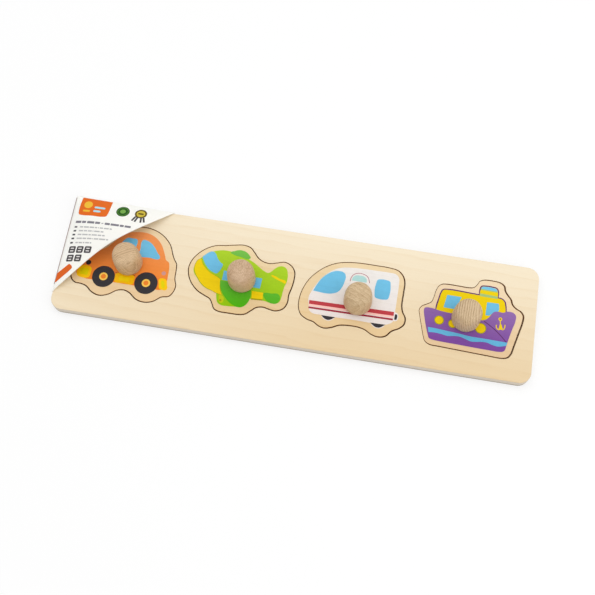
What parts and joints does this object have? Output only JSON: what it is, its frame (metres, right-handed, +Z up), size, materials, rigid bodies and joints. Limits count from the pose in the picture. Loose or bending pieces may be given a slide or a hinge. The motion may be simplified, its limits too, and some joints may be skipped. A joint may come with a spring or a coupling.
{
  "type": "peg puzzle",
  "caption": "Long wooden peg puzzle: a board with vehicle-shaped cut-outs, each holding a lift-out printed figure with a round wooden knob, and a folded card over one corner.",
  "frame": {"origin": "centre of the board's underside", "axes": "+X along the board from the car's end to the ship's end, +Y from the near edge to the far edge, +Z up out of the board, the way the figures lift"},
  "size_m": [0.3993, 0.1033, 0.0328],
  "materials": {
    "pale_wood": "satin",
    "backing_wood": "matte",
    "figure_wood": "satin",
    "knob_wood": "satin",
    "screw_steel": "satin",
    "white_card": "satin",
    "print_orange": "satin",
    "print_yellow": "satin",
    "print_blue": "satin",
    "print_lime": "satin",
    "print_green": "satin",
    "print_white": "satin",
    "print_red": "satin",
    "print_purple": "satin",
    "print_dark": "satin",
    "card_print": "satin"
  },
  "bodies": {
    "board": {"backing_board": "backing_wood", "frame_board": "pale_wood"},
    "car": {"car_piece": "figure_wood", "car_knob": "knob_wood", "car_screw": "screw_steel"},
    "plane": {"plane_piece": "figure_wood", "plane_knob": "knob_wood", "plane_screw": "screw_steel"},
    "van": {"van_piece": "figure_wood", "van_knob": "knob_wood", "van_screw": "screw_steel"},
    "ship": {"ship_piece": "figure_wood", "ship_knob": "knob_wood", "ship_screw": "screw_steel"},
    "label": {"corner_label": "white_card"}
  },
  "joints": [
    {"name": "car_lift", "type": "slide", "parent": "board", "child": "car", "axis": [0, 0, 1], "range_m": [0, 0.04]},
    {"name": "plane_lift", "type": "slide", "parent": "board", "child": "plane", "axis": [0, 0, 1], "range_m": [0, 0.04]},
    {"name": "van_lift", "type": "slide", "parent": "board", "child": "van", "axis": [0, 0, 1], "range_m": [0, 0.04]},
    {"name": "ship_lift", "type": "slide", "parent": "board", "child": "ship", "axis": [0, 0, 1], "range_m": [0, 0.04]},
    {"name": "label_lift", "type": "slide", "parent": "car", "child": "label", "axis": [0, 0, 1], "range_m": [0, 0.04]}
  ]
}
